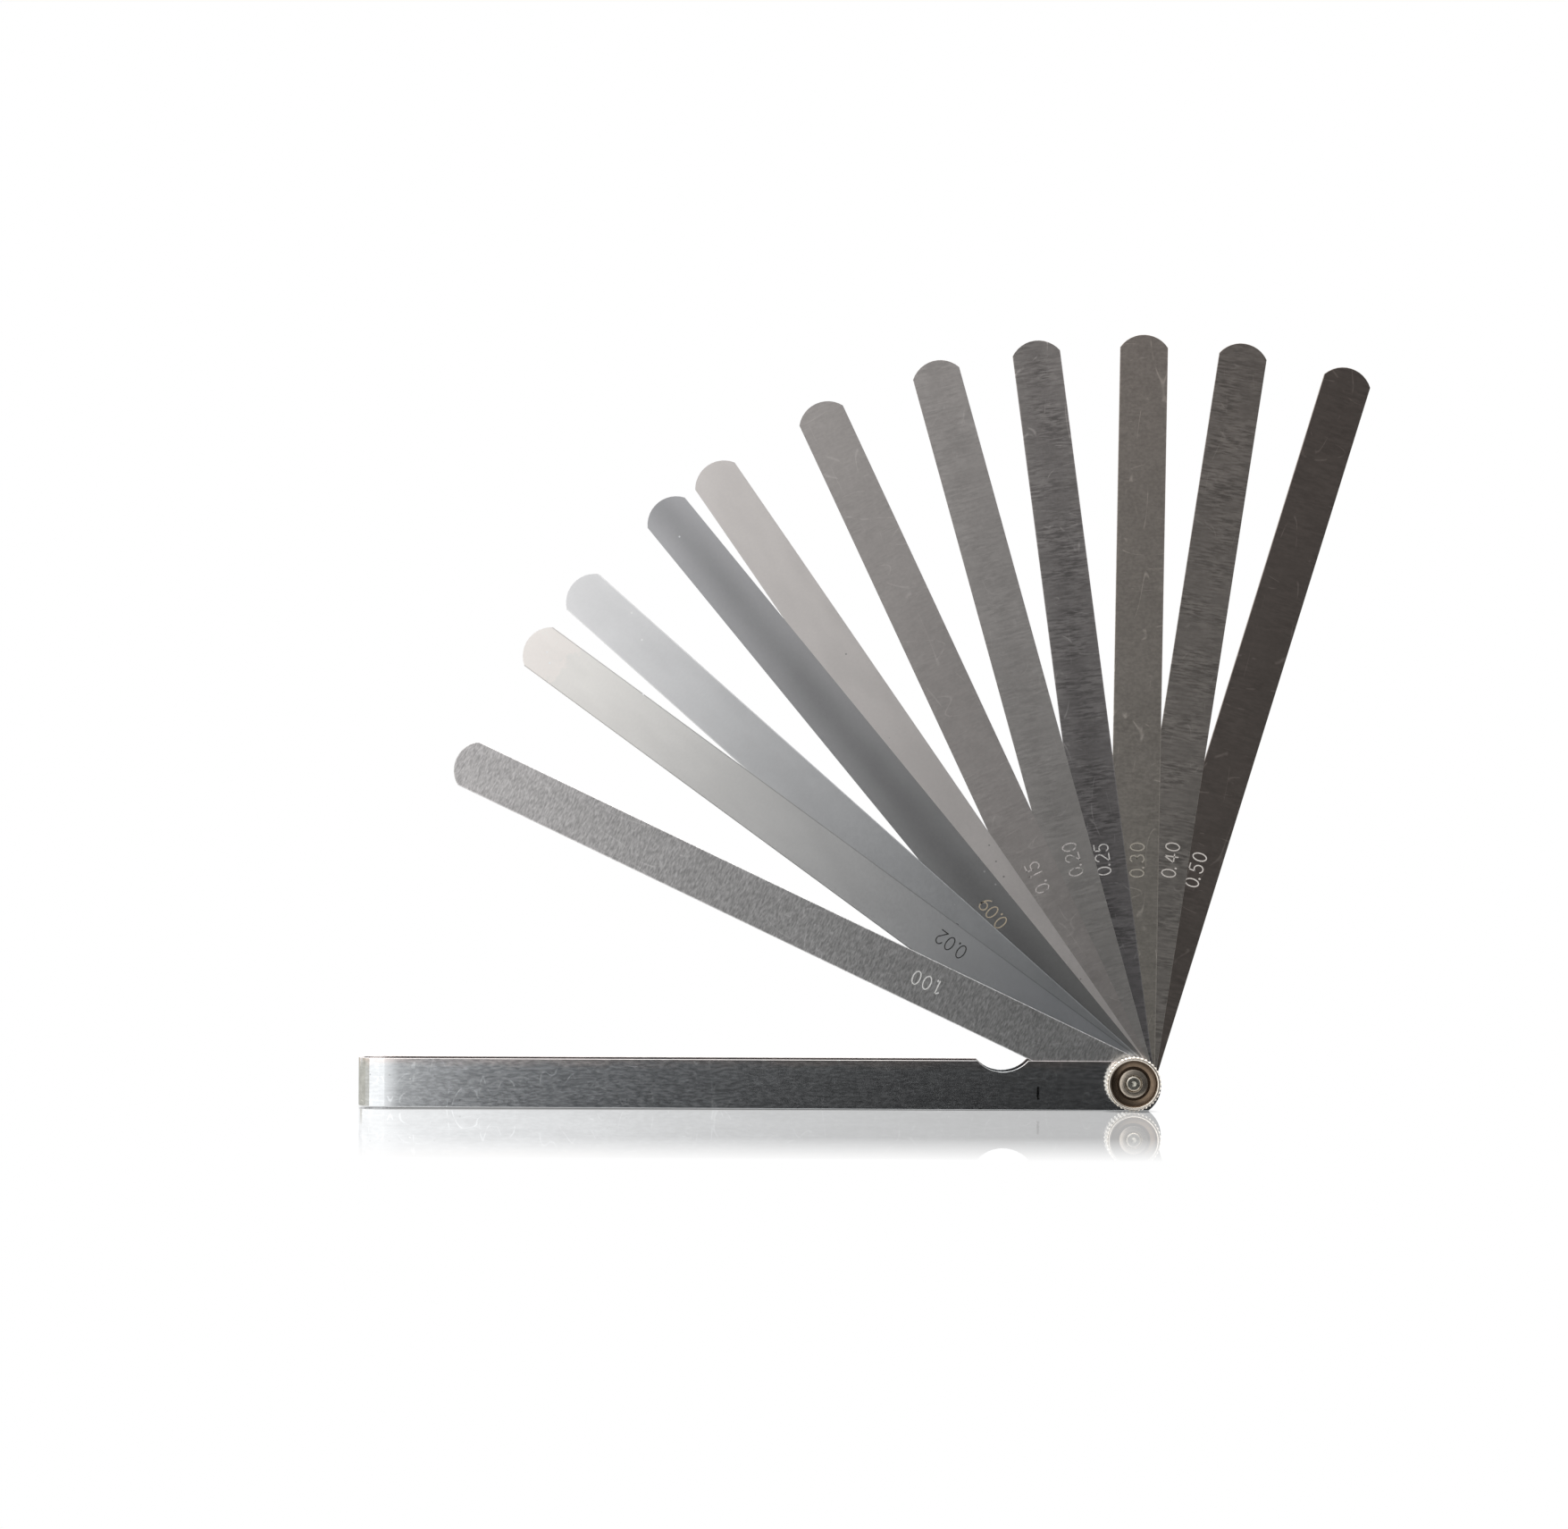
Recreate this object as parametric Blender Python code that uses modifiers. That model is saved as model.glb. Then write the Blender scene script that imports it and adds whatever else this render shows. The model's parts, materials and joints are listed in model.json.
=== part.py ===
"""Feeler gauge: seventeen steel blades on one pivot in a folded strip case.

The pivot axis is the world Y axis. The case lies along -X from the pivot and stands on its
lower long edge, and the front of the gauge, with the knurled nut, faces -Y. The origin is the
centre of the pivot screw's flat head, at the back. Lengths below are in millimetres.
"""

import math

import bmesh
import bpy

MM = 0.001
MERGE_DISTANCE = 1e-7  # metres

# Blades, front to back: thickness and the angle that each one is swung out of the case.
BLADES = (
    (1.00, 25.35),
    (0.02, 35.97),
    (0.03, 41.45),
    (0.04, 41.45),
    (0.05, 41.45),
    (0.06, 41.45),
    (0.07, 41.45),
    (0.08, 41.45),
    (0.09, 50.42),
    (0.10, 55.18),
    (0.15, 64.73),
    (0.20, 74.30),
    (0.25, 82.29),
    (0.30, 90.74),
    (0.40, 98.52),
    (0.50, 106.93),
    (0.75, 106.93),
)
BLADE_LENGTH = 200.0
BLADE_WIDTH = 12.5
BLADE_END_RADIUS = 7.5
PIVOT_TO_TIP = 194.8
BLADE_HOLE_RADIUS = 2.6
BLADE_GAP = 0.05  # between neighbouring blades
BLADE_END_STEPS = 12
BLADE_HOLE_STEPS = 32

# Case: one steel strip folded in two, both long edges open.
SHEET = 0.8
PLATE_GAP = 0.08  # between the stack of blades and each plate
CASE_BOTTOM = -7.2
CASE_TOP_AT_PIVOT = 5.5
CASE_TOP_AT_FOLD = 5.3
FOLD_START_X = -194.2
FOLD_LENGTH = 7.2
FOLD_STEPS = 16
CASE_END_CENTRE_X = -0.5
CASE_END_RADIUS = 7.95
CASE_END_STEPS = 12
NOTCH_CENTRE_X = -33.7
NOTCH_RADIUS = 8.9
NOTCH_DEPTH = 2.95
NOTCH_STEPS = 12
TRIM = 3.0  # how far a cutter runs past what it cuts

# Pivot screw, from its flat head at the back to its end inside the nut.
HEAD_RADIUS = 6.0
HEAD_THICKNESS = 1.2
HEAD_CHAMFER = 0.3
NECK_SIDE = 6.0
NECK_CLEARANCE = 0.1
NECK_SHORT_OF_PLATE = 0.1
SHANK_RADIUS = 2.5
THREAD_RADIUS = 1.95
THREAD_CHAMFER = 0.3
CENTRE_MARK_RADIUS = 0.7
CENTRE_MARK_DEPTH = 0.25
SCREW_STEPS = 48
FRONT_HOLE_RADIUS = 2.6

# Knurled nut: a toothed rim round a dished face with a low boss in its middle.
HEAD_GAP = 0.05  # between the case and the screw's head, and between the case and the nut
NUT_HEIGHT = 3.4
KNURL_TEETH = 40
KNURL_TIP_RADIUS = 7.15
KNURL_ROOT_RADIUS = 6.8
KNURL_CHAMFER = 0.35
RIM_INNER_RADIUS = 6.05
DISH_WALL_DEPTH = 0.35
DISH_OUTER_RADIUS = 5.8
DISH_OUTER_DEPTH = 1.4
DISH_RADIUS = 4.4
DISH_DEPTH = 1.5
GROOVE_DEPTH = 1.85
RING_OUTER_RADIUS = 4.2
RING_INNER_RADIUS = 3.9
RING_DEPTH = 1.55
BOSS_RADIUS = 3.65
BOSS_DEPTH = 1.2
BOSS_CHAMFER = 0.15
NUT_BORE_RADIUS = 2.05
BORE_CHAMFER = 0.2
NUT_STEPS = 72
SCREW_END_BELOW_RIM = 0.9

FACING_FRONT = math.pi / 2  # turns a flat shape's local Z to world -Y

SPRING_STEEL = (0.52, 0.52, 0.51)
POLISHED_STRIP = (0.55, 0.57, 0.60)
NICKEL_PLATE = (0.66, 0.62, 0.56)
ZINC_PLATE = (0.62, 0.63, 0.63)


def stack_thickness():
    """Thickness of all the blades with the gaps between them."""
    return sum(size for size, _ in BLADES) + BLADE_GAP * (len(BLADES) - 1)


def depth_places():
    """Y of the faces that the parts are built on, from the back to the front."""
    rear_outer = -(HEAD_THICKNESS + HEAD_GAP)
    rear_inner = rear_outer - SHEET
    front_inner = rear_inner - stack_thickness() - 2 * PLATE_GAP
    front_outer = front_inner - SHEET
    return rear_outer, rear_inner, front_inner, front_outer


def clear_scene():
    for obj in list(bpy.data.objects):
        bpy.data.objects.remove(obj, do_unlink=True)


def new_collection(name):
    collection = bpy.data.collections.new(name)
    bpy.context.scene.collection.children.link(collection)
    return collection


def make_material(name, colour, roughness, metallic=1.0):
    material = bpy.data.materials.new(name)
    material.use_nodes = True
    shader = material.node_tree.nodes["Principled BSDF"]
    shader.inputs["Base Color"].default_value = (*colour, 1.0)
    shader.inputs["Roughness"].default_value = roughness
    shader.inputs["Metallic"].default_value = metallic
    return material


def arc(centre_x, centre_y, radius, start, end, steps):
    """Points along a circle's arc, angles in radians, both ends included."""
    points = []
    for step in range(steps + 1):
        angle = start + (end - start) * step / steps
        points.append((centre_x + radius * math.cos(angle), centre_y + radius * math.sin(angle)))
    return points


def circle(radius, steps):
    return arc(0.0, 0.0, radius, 0.0, 2 * math.pi, steps)[:-1]


def flat_shape(name, collection, outlines, thickness):
    """A plate of this thickness from closed outlines in its local XY plane, as a welded mesh."""
    curve = bpy.data.curves.new(name, "CURVE")
    curve.dimensions = "2D"
    curve.fill_mode = "BOTH"
    curve.extrude = thickness * MM / 2
    for outline in outlines:
        spline = curve.splines.new("POLY")
        spline.points.add(len(outline) - 1)
        for point, (x, y) in zip(spline.points, outline):
            point.co = (x * MM, y * MM, 0.0, 1.0)
        spline.use_cyclic_u = True
    drawn = bpy.data.objects.new(name, curve)
    bpy.context.scene.collection.objects.link(drawn)
    graph = bpy.context.evaluated_depsgraph_get()
    mesh = bpy.data.meshes.new_from_object(drawn.evaluated_get(graph))
    bpy.data.objects.remove(drawn, do_unlink=True)
    bpy.data.curves.remove(curve)
    weld(mesh)
    mesh.name = name
    obj = bpy.data.objects.new(name, mesh)
    collection.objects.link(obj)
    return obj


def weld(mesh):
    shape = bmesh.new()
    shape.from_mesh(mesh)
    bmesh.ops.remove_doubles(shape, verts=shape.verts, dist=MERGE_DISTANCE)
    shape.to_mesh(mesh)
    shape.free()


def turned_shape(name, collection, profile, steps, closed):
    """A body turned about its local Z axis from points of (radius, height)."""
    mesh = bpy.data.meshes.new(name)
    shape = bmesh.new()
    points = [shape.verts.new((radius * MM, 0.0, height * MM)) for radius, height in profile]
    for first, second in zip(points, points[1:]):
        shape.edges.new((first, second))
    if closed:
        shape.edges.new((points[-1], points[0]))
    shape.to_mesh(mesh)
    shape.free()
    obj = bpy.data.objects.new(name, mesh)
    collection.objects.link(obj)
    turn = obj.modifiers.new("turn", "SCREW")
    turn.steps = steps
    turn.render_steps = steps
    turn.use_merge_vertices = True
    turn.merge_threshold = MERGE_DISTANCE
    return obj


def box(name, collection, size, centre):
    mesh = bpy.data.meshes.new(name)
    shape = bmesh.new()
    bmesh.ops.create_cube(shape, size=1.0)
    bmesh.ops.scale(shape, vec=[side * MM for side in size], verts=shape.verts)
    shape.to_mesh(mesh)
    shape.free()
    obj = bpy.data.objects.new(name, mesh)
    obj.location = [place * MM for place in centre]
    collection.objects.link(obj)
    return obj


def as_cutter(obj):
    obj.hide_render = True
    obj.display_type = "WIRE"
    return obj


def boolean(obj, tool, operation):
    cut = obj.modifiers.new(tool.name, "BOOLEAN")
    cut.operation = operation
    cut.solver = "EXACT"
    cut.object = tool


def face_front(obj, y, swing=0.0):
    """Stands a shape up in the XZ plane at this Y, swung out of the case by an angle in radians."""
    obj.rotation_euler = (FACING_FRONT, swing, 0.0)
    obj.location = (0.0, y * MM, 0.0)


def blade_outline():
    """A strip towards -X with a shallow arc at each end, corners left sharp."""
    half = BLADE_WIDTH / 2
    spread = math.asin(half / BLADE_END_RADIUS)
    tip_centre = BLADE_END_RADIUS - PIVOT_TO_TIP
    root_centre = BLADE_LENGTH - PIVOT_TO_TIP - BLADE_END_RADIUS
    tip = arc(
        tip_centre, 0.0, BLADE_END_RADIUS, math.pi - spread, math.pi + spread, BLADE_END_STEPS
    )
    root = arc(root_centre, 0.0, BLADE_END_RADIUS, -spread, spread, BLADE_END_STEPS)
    return tip + root


def build_blades(collection):
    _, _, front_inner, _ = depth_places()
    outlines = (blade_outline(), circle(BLADE_HOLE_RADIUS, BLADE_HOLE_STEPS))
    y = front_inner + PLATE_GAP
    for size, swing in BLADES:
        name = f"blade_{round(size * 100):03d}"
        blade = flat_shape(name, collection, outlines, size)
        face_front(blade, y + size / 2, math.radians(swing))
        blade.data.materials.append(make_material(name, SPRING_STEEL, 0.35))
        y += size + BLADE_GAP


def fold_outline():
    """The strip seen from above: front plate, elliptical fold and rear plate."""
    rear_outer, rear_inner, front_inner, front_outer = depth_places()
    middle = (rear_outer + front_outer) / 2
    end = CASE_END_RADIUS + TRIM

    def bend(length, half_depth):
        points = []
        for step in range(FOLD_STEPS + 1):
            angle = math.pi * step / FOLD_STEPS
            x = FOLD_START_X - length * math.sin(angle)
            points.append((x, middle - half_depth * math.cos(angle)))
        return points

    outer = bend(FOLD_LENGTH, rear_outer - middle)
    inner = bend(FOLD_LENGTH - SHEET, rear_inner - middle)
    front = [(end, front_outer)] + outer + [(end, rear_outer)]
    back = [(end, rear_inner)] + inner[::-1] + [(end, front_inner)]
    return front + back


def case_face_outline():
    """The case seen from the front: straight edges, a thumb notch and a round pivot end."""
    middle = (CASE_BOTTOM + CASE_TOP_AT_PIVOT) / 2
    half = CASE_TOP_AT_PIVOT - middle
    spread = math.asin(half / CASE_END_RADIUS)
    round_end = arc(CASE_END_CENTRE_X, middle, CASE_END_RADIUS, -spread, spread, CASE_END_STEPS)
    notch_height = CASE_TOP_AT_PIVOT - NOTCH_DEPTH + NOTCH_RADIUS
    reach = math.acos((NOTCH_RADIUS - NOTCH_DEPTH) / NOTCH_RADIUS)
    down = -math.pi / 2
    notch = arc(
        NOTCH_CENTRE_X, notch_height, NOTCH_RADIUS, down + reach, down - reach, NOTCH_STEPS
    )
    far = FOLD_START_X - FOLD_LENGTH - TRIM
    return round_end + notch + [(far, CASE_TOP_AT_FOLD), (far, CASE_BOTTOM)]


def build_case(collection, cutters):
    rear_outer, rear_inner, front_inner, front_outer = depth_places()
    depth_middle = (rear_outer + front_outer) / 2
    height = CASE_TOP_AT_PIVOT - CASE_BOTTOM
    strip = flat_shape("case_strip", collection, (fold_outline(),), height + 2 * TRIM)
    strip.location = (0.0, 0.0, (CASE_TOP_AT_PIVOT + CASE_BOTTOM) / 2 * MM)

    depth = rear_outer - front_outer + 2 * TRIM
    face = as_cutter(flat_shape("case_face", cutters, (case_face_outline(),), depth))
    face_front(face, depth_middle)
    boolean(strip, face, "INTERSECT")

    plate_cut = SHEET + 2.0
    front_hole = as_cutter(
        flat_shape("front_hole", cutters, (circle(FRONT_HOLE_RADIUS, SCREW_STEPS),), plate_cut)
    )
    face_front(front_hole, (front_inner + front_outer) / 2)
    boolean(strip, front_hole, "DIFFERENCE")

    hole_side = NECK_SIDE + 2 * NECK_CLEARANCE
    square_hole = as_cutter(
        box(
            "square_hole",
            cutters,
            (hole_side, plate_cut, hole_side),
            (0.0, (rear_inner + rear_outer) / 2, 0.0),
        )
    )
    boolean(strip, square_hole, "DIFFERENCE")
    strip.data.materials.append(make_material("case_strip", POLISHED_STRIP, 0.18))


def build_screw(collection, cutters):
    """Flat head, square neck that keeps it from turning, plain shank and threaded end."""
    _, rear_inner, front_inner, front_outer = depth_places()
    shank_end = -front_inner
    tip = -front_outer + HEAD_GAP + NUT_HEIGHT - SCREW_END_BELOW_RIM
    profile = (
        (0.0, tip - CENTRE_MARK_DEPTH),
        (CENTRE_MARK_RADIUS, tip),
        (THREAD_RADIUS - THREAD_CHAMFER, tip),
        (THREAD_RADIUS, tip - THREAD_CHAMFER),
        (THREAD_RADIUS, shank_end),
        (SHANK_RADIUS, shank_end),
        (SHANK_RADIUS, HEAD_THICKNESS),
        (HEAD_RADIUS, HEAD_THICKNESS),
        (HEAD_RADIUS, HEAD_CHAMFER),
        (HEAD_RADIUS - HEAD_CHAMFER, 0.0),
        (0.0, 0.0),
    )
    screw = turned_shape("pivot_screw", collection, profile, SCREW_STEPS, closed=False)
    face_front(screw, 0.0)
    neck_front = rear_inner + NECK_SHORT_OF_PLATE
    neck_back = -HEAD_THICKNESS / 2
    neck = as_cutter(
        box(
            "neck",
            cutters,
            (NECK_SIDE, neck_back - neck_front, NECK_SIDE),
            (0.0, (neck_back + neck_front) / 2, 0.0),
        )
    )
    boolean(screw, neck, "UNION")
    screw.data.materials.append(make_material("pivot_screw", ZINC_PLATE, 0.3))


def knurl_outline():
    """Pointed teeth round the nut's rim."""
    points = []
    for corner in range(2 * KNURL_TEETH):
        radius = KNURL_ROOT_RADIUS if corner % 2 else KNURL_TIP_RADIUS
        angle = math.pi * corner / KNURL_TEETH
        points.append((radius * math.cos(angle), radius * math.sin(angle)))
    return points


def build_nut(collection, cutters):
    _, _, _, front_outer = depth_places()
    top = NUT_HEIGHT
    wide = KNURL_TIP_RADIUS + KNURL_CHAMFER
    narrow = KNURL_TIP_RADIUS - KNURL_CHAMFER
    profile = (
        (RIM_INNER_RADIUS, top),
        (narrow, top),
        (wide, top - 2 * KNURL_CHAMFER),
        (wide, 2 * KNURL_CHAMFER),
        (narrow, 0.0),
        (NUT_BORE_RADIUS, 0.0),
        (NUT_BORE_RADIUS, top - BOSS_DEPTH - BORE_CHAMFER),
        (NUT_BORE_RADIUS + BORE_CHAMFER, top - BOSS_DEPTH),
        (BOSS_RADIUS - BOSS_CHAMFER, top - BOSS_DEPTH),
        (BOSS_RADIUS, top - BOSS_DEPTH - BOSS_CHAMFER),
        (BOSS_RADIUS, top - GROOVE_DEPTH),
        (RING_INNER_RADIUS, top - GROOVE_DEPTH),
        (RING_INNER_RADIUS, top - RING_DEPTH),
        (RING_OUTER_RADIUS, top - RING_DEPTH),
        (RING_OUTER_RADIUS, top - GROOVE_DEPTH),
        (DISH_RADIUS, top - GROOVE_DEPTH),
        (DISH_RADIUS, top - DISH_DEPTH),
        (DISH_OUTER_RADIUS, top - DISH_OUTER_DEPTH),
        (RIM_INNER_RADIUS, top - DISH_WALL_DEPTH),
    )
    nut = turned_shape("knurled_nut", collection, profile, NUT_STEPS, closed=True)
    face_front(nut, front_outer - HEAD_GAP)
    teeth = as_cutter(flat_shape("knurl_teeth", cutters, (knurl_outline(),), NUT_HEIGHT + 2 * TRIM))
    face_front(teeth, front_outer - HEAD_GAP - NUT_HEIGHT / 2)
    boolean(nut, teeth, "INTERSECT")
    nut.data.materials.append(make_material("knurled_nut", NICKEL_PLATE, 0.3))


def main():
    clear_scene()
    parts = new_collection("feeler_gauge")
    cutters = new_collection("cutters")
    build_case(parts, cutters)
    build_screw(parts, cutters)
    build_nut(parts, cutters)
    build_blades(parts)


main()
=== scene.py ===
import json
import math

import bmesh
import bpy
from mathutils import Matrix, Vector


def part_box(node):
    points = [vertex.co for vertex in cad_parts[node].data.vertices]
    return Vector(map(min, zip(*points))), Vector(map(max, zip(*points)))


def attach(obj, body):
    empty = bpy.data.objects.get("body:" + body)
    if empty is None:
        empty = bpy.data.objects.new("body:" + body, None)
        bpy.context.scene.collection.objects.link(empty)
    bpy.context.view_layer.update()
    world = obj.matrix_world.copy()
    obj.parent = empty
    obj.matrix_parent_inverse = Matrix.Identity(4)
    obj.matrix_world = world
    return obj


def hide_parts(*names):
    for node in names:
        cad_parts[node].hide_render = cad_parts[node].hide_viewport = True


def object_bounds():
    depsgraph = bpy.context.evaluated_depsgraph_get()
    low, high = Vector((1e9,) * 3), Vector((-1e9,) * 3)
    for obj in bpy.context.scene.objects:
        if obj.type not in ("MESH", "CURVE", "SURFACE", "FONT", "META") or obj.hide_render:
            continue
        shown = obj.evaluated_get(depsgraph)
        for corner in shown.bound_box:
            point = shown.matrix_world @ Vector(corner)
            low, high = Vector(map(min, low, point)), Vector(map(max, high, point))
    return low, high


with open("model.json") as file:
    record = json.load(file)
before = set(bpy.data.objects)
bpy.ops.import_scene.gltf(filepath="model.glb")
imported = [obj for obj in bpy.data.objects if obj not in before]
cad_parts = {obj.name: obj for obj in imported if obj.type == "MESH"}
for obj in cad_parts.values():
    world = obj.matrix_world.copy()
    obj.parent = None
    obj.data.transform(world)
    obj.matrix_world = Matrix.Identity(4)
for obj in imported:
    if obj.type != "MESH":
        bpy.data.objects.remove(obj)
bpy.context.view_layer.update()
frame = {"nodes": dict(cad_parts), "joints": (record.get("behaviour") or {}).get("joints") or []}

MM = 0.001

# Blades, in millimetres. The thinnest ones have no softened edges.
PIVOT_TO_TIP = 194.8
BLADE_WIDTH = 12.5
THIN_BLADE = 0.2
BLADE_EDGE = 0.18
BLADE_EDGE_SHARE = 0.25  # of the blade's thickness, at most
# The painted highlight and shade line along each long edge of a blade lies between these two.
EDGE_LINE_START = 0.32  # a rim line's two limits, from the blade's long edge
EDGE_LINE_END = 0.2
BLADE_ROUGHNESS = 0.3

# Case, in millimetres: its plates bow a little before the fold, and its nick, whose darkness is
# painted shade, is on the front.
CASE_MIDDLE_Y = -4.575
CASE_INNER_HALF = 2.525
FOLD_START_X = -194.2
FOLD_END_X = -198.0
BOW_START_X = -190.2
BOW_RATE = 0.0022  # the bow sinks by this times the square of the way along it
CASE_EDGE = 0.1
NICK_X = -24.05
NICK_Z = -2.85
NICK_HALF_WIDTH = (0.16, 0.3)  # where its edge starts and ends to fade
NICK_HALF_HEIGHT = (1.5, 1.9)

# Nut and screw, in millimetres.
NUT_STEPS = 480
KNURL_TEETH = 40
KNURL_DEPTH = 0.36
NUT_BORE = 2.05
KNURL_CHAMFER = 0.5
REAR_RADIUS = 6.6
TURNED_RADIUS = 8.0  # where the ramp of a turned face's colours ends
SCREW_EDGE = 0.12

# Numbers etched on the blades, in millimetres, measured to the middle of each stroke.
DIGIT_HEIGHT = 3.6
DIGIT_WIDTH = 1.95
STROKE = 0.32
POINT_WIDTH = 0.46
POINT_GAP = 0.5  # from the digit before it
POINT_LOW = 0.05
POINT_HIGH = 0.25
POINT_PITCH = 0.85
PITCH_AFTER_ONE = 0.75  # of the usual distance between digits
LABEL_PROUD = 0.006

# Edges: the angles in degrees above which an edge is softened, or on the nut kept sharp.
EDGE_SEGMENTS = 3
BLADE_CREASE = 40.0
CASE_CREASE = 50.0
SCREW_CREASE = 30.0
NUT_CREASE = 28.0

# Table, in millimetres and radians. Only the part of it just in front of the gauge is a mirror.
FLOOR_GAP = 0.1
FLOOR_TILT = -0.0015
MIRROR_START_Y = -98.0
MIRROR_FULL_Y = -60.0
MIRROR_END_Y = 6.0
MIRROR_LEFT = -204.0
MIRROR_RIGHT = 10.0
MIRROR_FADE = 8.0
MIRROR_STRENGTH = 0.58

# Camera and light, in metres, except the lens in millimetres and the power in watts.
CAMERA_LENS = 61.83
CAMERA_PLACE = (-0.09092, -0.707, 0.08212)
CAMERA_ROLL = math.radians(-0.31)
LIGHT_PLACE = (-0.2, -0.1, 1.2)
LIGHT_SIZE = 1.6
LIGHT_POWER = 12.0

# Studio walls, as linear colours.
WHITE_WALL = (1.35, 1.35, 1.34, 1.0)
FAR_LEFT_WALL = (0.66, 0.64, 0.57, 1.0)


def linear(level):
    """Linear value of an sRGB level from 0 to 1."""
    if level <= 0.04045:
        return level / 12.92
    return ((level + 0.055) / 1.055) ** 2.4


def colour(red, green, blue):
    return (linear(red), linear(green), linear(blue), 1.0)


def grey(level):
    """A colour from a linear level."""
    return (level, level, level, 1.0)


class Graph:
    """Short ways to add nodes to a node tree."""

    def __init__(self, tree):
        self.tree = tree
        self.tree.nodes.clear()

    def set(self, socket, value):
        if isinstance(value, bpy.types.NodeSocket):
            self.tree.links.new(value, socket)
        elif value is not None and socket.type == "VECTOR":
            socket.default_value = value[:3]
        elif value is not None:
            socket.default_value = value

    def node(self, kind, inputs=None, **settings):
        node = self.tree.nodes.new(kind)
        for name, value in settings.items():
            setattr(node, name, value)
        for name, value in (inputs or {}).items():
            self.set(node.inputs[name], value)
        return node

    def math(self, operation, first, second=None, third=None):
        node = self.node("ShaderNodeMath", operation=operation)
        for socket, value in zip(node.inputs, (first, second, third)):
            self.set(socket, value)
        return node.outputs[0]

    def product(self, *factors):
        result = factors[0]
        for factor in factors[1:]:
            result = self.math("MULTIPLY", result, factor)
        return result

    def scaled(self, vector, scale):
        node = self.node("ShaderNodeVectorMath", operation="SCALE")
        self.set(node.inputs[0], vector)
        self.set(node.inputs["Scale"], scale)
        return node.outputs[0]

    def span(self, value, low, high, first=0.0, last=1.0, smooth=False):
        """value from low to high becomes first to last."""
        node = self.node(
            "ShaderNodeMapRange",
            {"Value": value, "From Min": low, "From Max": high, "To Min": first, "To Max": last},
            interpolation_type="SMOOTHSTEP" if smooth else "LINEAR",
        )
        return node.outputs["Result"]

    def about(self, value, strength):
        """A noise value as a factor about 1."""
        return self.span(value, 0.38, 0.62, 1 - strength, 1 + strength)

    def ramp(self, value, stops, interpolation="EASE"):
        """stops are (place, linear grey or colour)."""
        node = self.node("ShaderNodeValToRGB", {"Fac": value})
        node.color_ramp.interpolation = interpolation
        elements = node.color_ramp.elements
        while len(elements) < len(stops):
            elements.new(0.5)
        for element, (place, shade) in zip(elements, stops):
            element.position = place
            element.color = shade if isinstance(shade, tuple) else grey(shade)
        return node.outputs["Color"]

    def mix(self, factor, first, second):
        node = self.node("ShaderNodeMix", data_type="RGBA")
        sockets = (node.inputs[0], node.inputs[6], node.inputs[7])
        for socket, value in zip(sockets, (factor, first, second)):
            self.set(socket, value)
        return node.outputs[2]

    def noise(self, vector, stretch, seed, detail=2.0, roughness=0.5, turn=0.0):
        """Noise with this many cells a millimetre along each axis."""
        place = self.node(
            "ShaderNodeMapping",
            {
                "Vector": vector,
                "Scale": stretch,
                "Location": (seed, seed * 3.1, seed * 1.7),
                "Rotation": (0.0, turn, 0.0),
            },
        )
        node = self.node(
            "ShaderNodeTexNoise",
            {
                "Vector": place.outputs["Vector"],
                "Scale": 1.0,
                "Detail": detail,
                "Roughness": roughness,
            },
        )
        return node.outputs["Fac"]

    def object_mm(self, swing=0.0):
        """Object coordinates in millimetres, turned back to how the blade lies when folded."""
        place = self.node("ShaderNodeTexCoord").outputs["Object"]
        if swing:
            turned = self.node(
                "ShaderNodeVectorRotate",
                {"Vector": place, "Angle": -swing},
                rotation_type="Y_AXIS",
            )
            place = turned.outputs["Vector"]
        return self.scaled(place, 1 / MM)

    def split(self, vector):
        return self.node("ShaderNodeSeparateXYZ", {"Vector": vector}).outputs

    def hairline(self, place, stretch, seed, thin, turn=0.0):
        """Fine scratches: 1 on parts of the line where a smooth noise crosses its middle, else 0."""
        field = self.noise(place, stretch, seed, detail=0.0, turn=turn)
        off_line = self.math("ABSOLUTE", self.math("SUBTRACT", field, 0.5))
        line = self.span(off_line, 0.0, thin, 1.0, 0.0)
        gate = self.noise(place, (0.16, 1.0, 0.3), seed + 5.0)
        return self.product(line, self.span(gate, 0.5, 0.58))

    def dots(self, place, cells, size, share, seed):
        """Round specks, on this share of the cells. cells is how many there are in a millimetre."""
        moved = self.node(
            "ShaderNodeMapping", {"Vector": place, "Location": (seed, 0.0, seed * 2.3)}
        )
        flat = self.node(
            "ShaderNodeVectorMath",
            {0: moved.outputs["Vector"], 1: (1.0, 0.0, 1.0)},
            operation="MULTIPLY",
        )
        node = self.node(
            "ShaderNodeTexVoronoi", {"Vector": flat.outputs[0], "Scale": cells}
        )
        near = self.span(node.outputs["Distance"], size * 0.6, size, 1.0, 0.0)
        lot, _, _ = self.split(node.outputs["Color"])
        return self.product(near, self.math("LESS_THAN", lot, share))

    def bump(self, height, strength, distance):
        node = self.node(
            "ShaderNodeBump", {"Height": height, "Strength": strength, "Distance": distance}
        )
        return node.outputs["Normal"]

    def surface(self, base, roughness, normal=None, metallic=1.0):
        shader = self.node(
            "ShaderNodeBsdfPrincipled",
            {"Base Color": base, "Roughness": roughness, "Metallic": metallic, "Normal": normal},
        )
        self.node("ShaderNodeOutputMaterial", {"Surface": shader.outputs["BSDF"]})


def new_material(name):
    material = bpy.data.materials.new(name)
    material.use_nodes = True
    return material, Graph(material.node_tree)


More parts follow.
